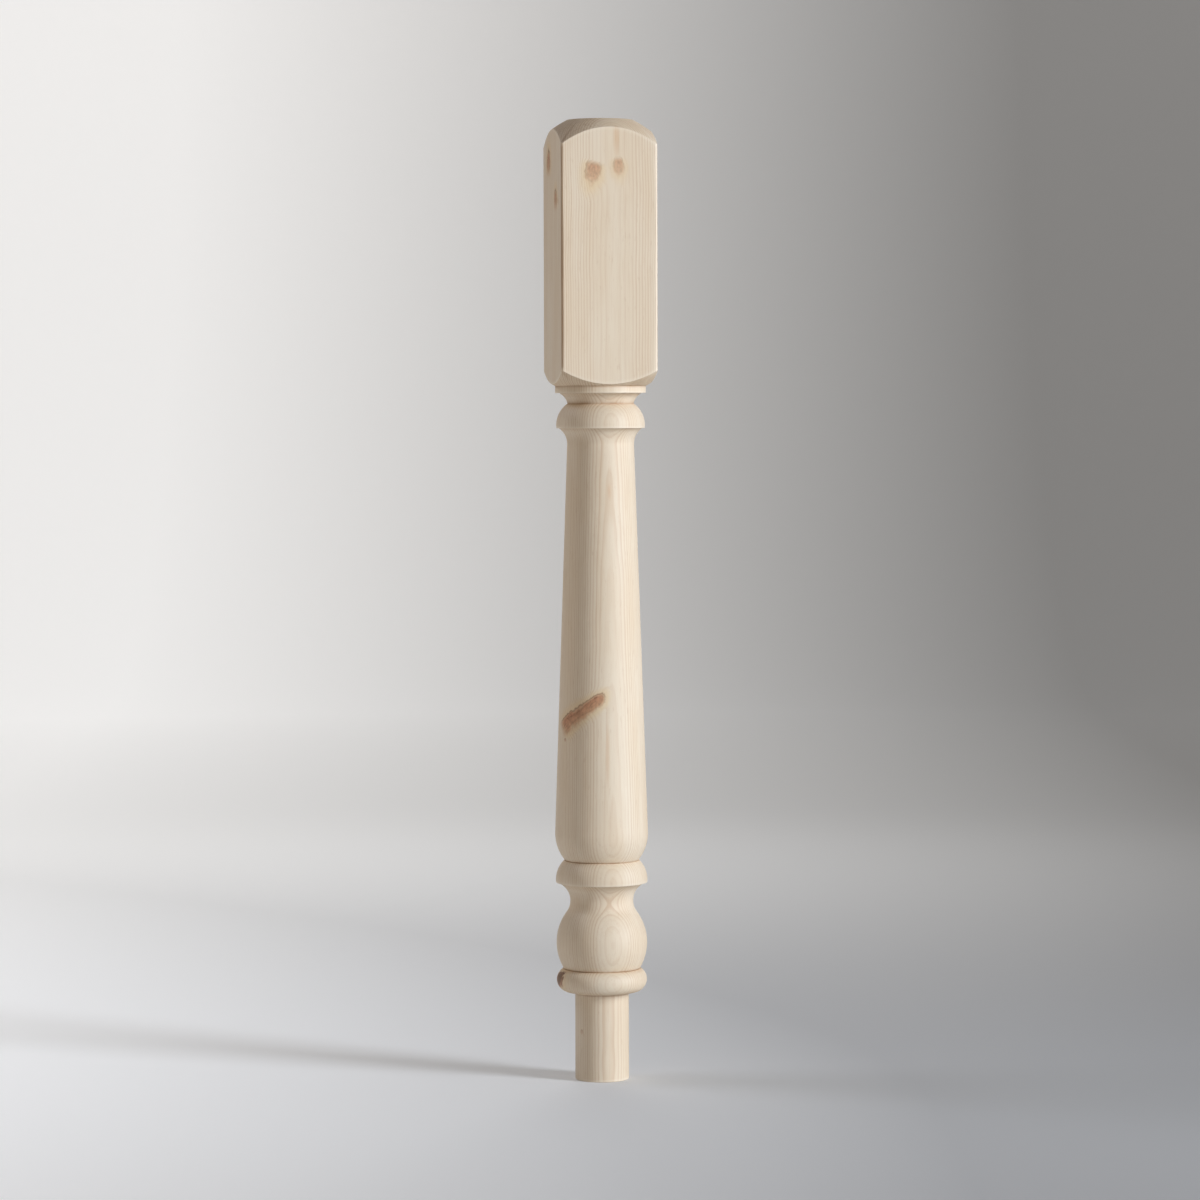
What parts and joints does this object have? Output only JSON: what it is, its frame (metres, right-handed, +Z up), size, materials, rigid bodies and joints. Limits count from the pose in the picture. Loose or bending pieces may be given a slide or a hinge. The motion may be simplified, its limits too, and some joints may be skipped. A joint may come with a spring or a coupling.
{
  "type": "newel post",
  "caption": "Turned softwood newel post with a square block on top, a long tapered stem between turned beads, and a round spigot that is glued into a newel base.",
  "frame": {"origin": "centre of the end of the spigot, which is the lowest point", "axes": "+Z up along the axis of the turning, from the spigot to the block; X and Y square to the flats of the block, with the most knotty flat facing -Y"},
  "size_m": [0.09, 0.09, 0.89],
  "materials": {
    "pine": "bare softwood, turned and sanded, with no stain or varnish, pale with fine growth rings and a few brown knots"
  },
  "bodies": {
    "root": {"newel_post": "pine"}
  },
  "joints": []
}
